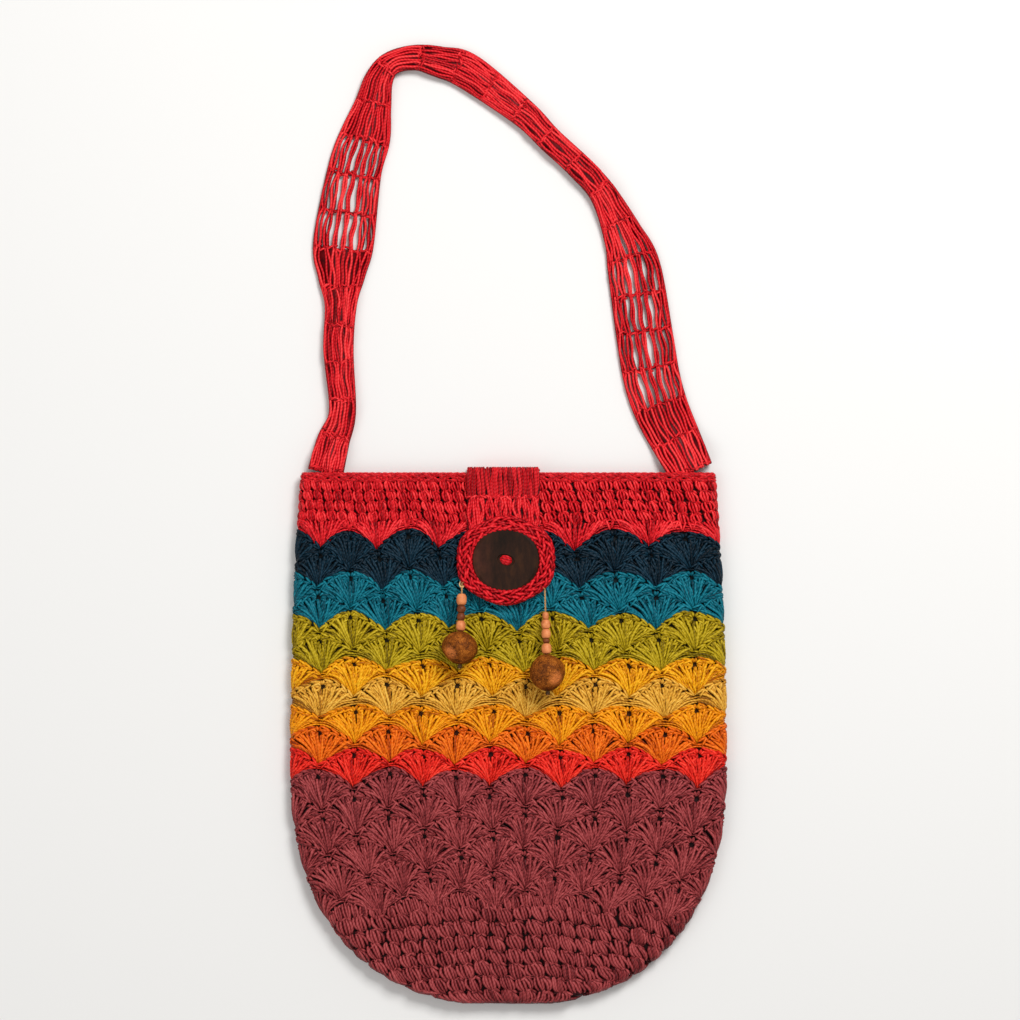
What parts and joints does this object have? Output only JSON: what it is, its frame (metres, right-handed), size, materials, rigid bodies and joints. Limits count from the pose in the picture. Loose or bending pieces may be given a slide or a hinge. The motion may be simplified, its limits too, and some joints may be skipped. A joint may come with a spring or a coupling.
{
  "type": "crochet crossbody bag",
  "caption": "Flat crochet bag of scalloped shell rows in colour bands, with a netted shoulder strap, a tab with a loop round a wooden button, and beaded seed charms.",
  "frame": {"origin": "on the flat back, on the bag's centre line, 29.7 mm below the rim", "axes": "+X across the bag to the right as seen from the front, +Y up the bag towards the strap, +Z out of the front. The bag lies on its back."},
  "size_m": [0.257, 0.5656, 0.037],
  "materials": {
    "red_yarn": "crocheted cotton yarn",
    "navy_yarn": "crocheted cotton yarn",
    "teal_yarn": "crocheted cotton yarn",
    "green_yarn": "crocheted cotton yarn",
    "gold_yarn": "crocheted cotton yarn",
    "straw_yarn": "crocheted cotton yarn",
    "amber_yarn": "crocheted cotton yarn",
    "orange_yarn": "crocheted cotton yarn",
    "coral_yarn": "crocheted cotton yarn",
    "plum_yarn": "crocheted cotton yarn",
    "button_wood": "dark stained, satin",
    "seed": "natural, mottled brown",
    "peach_bead": "satin peach",
    "brown_bead": "satin brown",
    "tan_cord": "waxed two-ply cord"
  },
  "bodies": {
    "bag": {"band_red_rim": "red_yarn", "band_navy": "navy_yarn", "band_teal": "teal_yarn", "band_green": "green_yarn", "band_gold": "gold_yarn", "band_straw": "straw_yarn", "band_amber": "amber_yarn", "band_orange": "orange_yarn", "band_coral": "coral_yarn", "band_plum_base": "plum_yarn", "shoulder_strap": "red_yarn", "closure_tab": "red_yarn", "button_loop": "red_yarn", "wooden_button": "button_wood", "button_thread": "red_yarn"},
    "left_charm": {"left_charm_cord": "tan_cord"},
    "left_seed": {"left_seed": "seed"},
    "left_bead_lower_peach": {"left_bead_lower_peach": "peach_bead"},
    "left_bead_lower_brown": {"left_bead_lower_brown": "brown_bead"},
    "left_bead_upper_brown": {"left_bead_upper_brown": "brown_bead"},
    "left_bead_upper_peach": {"left_bead_upper_peach": "peach_bead"},
    "right_charm": {"right_charm_cord": "tan_cord"},
    "right_seed": {"right_seed": "seed"},
    "right_bead_lowest_peach": {"right_bead_lowest_peach": "peach_bead"},
    "right_bead_brown_disc": {"right_bead_brown_disc": "brown_bead"},
    "right_bead_third_peach": {"right_bead_third_peach": "peach_bead"},
    "right_bead_second_peach": {"right_bead_second_peach": "peach_bead"},
    "right_bead_small_peach": {"right_bead_small_peach": "peach_bead"}
  },
  "joints": [
    {"name": "left_charm_swing", "type": "hinge", "parent": "bag", "child": "left_charm", "pos_m": [-0.02721, -0.03516, 0.0189], "axis": [0, 0, 1], "range_deg": [-60, 15]},
    {"name": "left_seed_spin", "type": "hinge", "parent": "left_charm", "child": "left_seed", "pos_m": [-0.0282, -0.0726, 0.02608], "axis": [-0.0261, -0.9817, 0.1884], "continuous": true},
    {"name": "left_bead_lower_peach_spin", "type": "hinge", "parent": "left_charm", "child": "left_bead_lower_peach", "pos_m": [-0.02786, -0.05989, 0.02364], "axis": [-0.0261, -0.9817, 0.1884], "continuous": true},
    {"name": "left_bead_lower_brown_spin", "type": "hinge", "parent": "left_charm", "child": "left_bead_lower_brown", "pos_m": [-0.02772, -0.05454, 0.02262], "axis": [-0.0261, -0.9817, 0.1884], "continuous": true},
    {"name": "left_bead_upper_brown_spin", "type": "hinge", "parent": "left_charm", "child": "left_bead_upper_brown", "pos_m": [-0.0276, -0.05007, 0.02176], "axis": [-0.0261, -0.9817, 0.1884], "continuous": true},
    {"name": "left_bead_upper_peach_spin", "type": "hinge", "parent": "left_charm", "child": "left_bead_upper_peach", "pos_m": [-0.02746, -0.04457, 0.02071], "axis": [-0.0261, -0.9817, 0.1884], "continuous": true},
    {"name": "right_charm_swing", "type": "hinge", "parent": "bag", "child": "right_charm", "pos_m": [0.02129, -0.03841, 0.01898], "axis": [0, 0, 1], "range_deg": [-15, 60]},
    {"name": "right_seed_spin", "type": "hinge", "parent": "right_charm", "child": "right_seed", "pos_m": [0.0226, -0.087, 0.02726], "axis": [0.0265, -0.9854, 0.168], "continuous": true},
    {"name": "right_bead_lowest_peach_spin", "type": "hinge", "parent": "right_charm", "child": "right_bead_lowest_peach", "pos_m": [0.02223, -0.07315, 0.0249], "axis": [0.0265, -0.9854, 0.168], "continuous": true},
    {"name": "right_bead_brown_disc_spin", "type": "hinge", "parent": "right_charm", "child": "right_bead_brown_disc", "pos_m": [0.02211, -0.06867, 0.02414], "axis": [0.0265, -0.9854, 0.168], "continuous": true},
    {"name": "right_bead_third_peach_spin", "type": "hinge", "parent": "right_charm", "child": "right_bead_third_peach", "pos_m": [0.02199, -0.06448, 0.02342], "axis": [0.0265, -0.9854, 0.168], "continuous": true},
    {"name": "right_bead_second_peach_spin", "type": "hinge", "parent": "right_charm", "child": "right_bead_second_peach", "pos_m": [0.02184, -0.05896, 0.02248], "axis": [0.0265, -0.9854, 0.168], "continuous": true},
    {"name": "right_bead_small_peach_spin", "type": "hinge", "parent": "right_charm", "child": "right_bead_small_peach", "pos_m": [0.02171, -0.05404, 0.02164], "axis": [0.0265, -0.9854, 0.168], "continuous": true}
  ]
}
